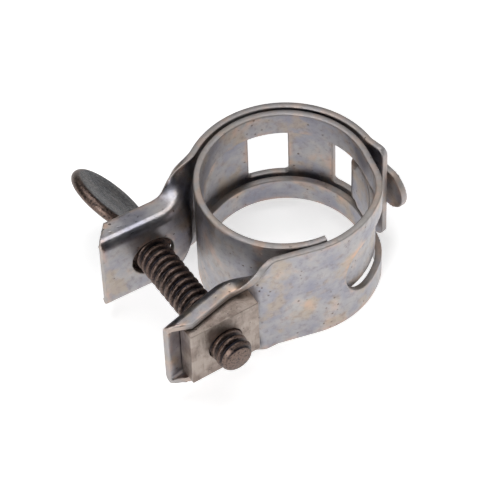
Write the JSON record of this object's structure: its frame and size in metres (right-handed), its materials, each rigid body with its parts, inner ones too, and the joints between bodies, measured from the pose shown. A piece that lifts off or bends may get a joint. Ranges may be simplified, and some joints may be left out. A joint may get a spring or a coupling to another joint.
{
  "type": "hose clamp",
  "caption": "Two-band metal hose clamp whose lugs are drawn together by a thumb screw and a plate nut.",
  "frame": {"origin": "centre of the hose bore, half way along its length", "axes": "+Z along the hose axis, the screw runs parallel to Y with its thumb disc toward +Y, the lugs stick out toward -X"},
  "size_m": [0.0531, 0.0497, 0.0226],
  "materials": {
    "band_steel": "bright, pitted, with faint copper tints",
    "screw_steel": "blackened and worn, slightly glossy",
    "nut_steel": "tarnished brown, brushed"
  },
  "bodies": {
    "outer_band": {"outer_band": "band_steel"},
    "inner_band": {"inner_band": "band_steel"},
    "thumb_screw": {"thumb_screw": "screw_steel"},
    "nut": {"nut": "nut_steel"}
  },
  "joints": [
    {"name": "screw_turn", "type": "hinge", "parent": "outer_band", "child": "thumb_screw", "pos_m": [-0.0231, 0, 0], "axis": [0, -1, 0], "range_deg": [-720, 45]},
    {"name": "nut_travel", "type": "slide", "parent": "outer_band", "child": "nut", "axis": [0, 1, 0], "range_m": [-0.003, 0.00019]},
    {"name": "band_swing", "type": "hinge", "parent": "outer_band", "child": "inner_band", "pos_m": [0.0164, 0.0005, 0], "axis": [0, 0, -1], "range_deg": [-3.6, 0.4]}
  ],
  "couplings": [
    {"joint": "screw_turn", "follows": "nut_travel", "rad_per_m": 4188.8},
    {"joint": "band_swing", "follows": "nut_travel", "rad_per_m": 19.98}
  ]
}
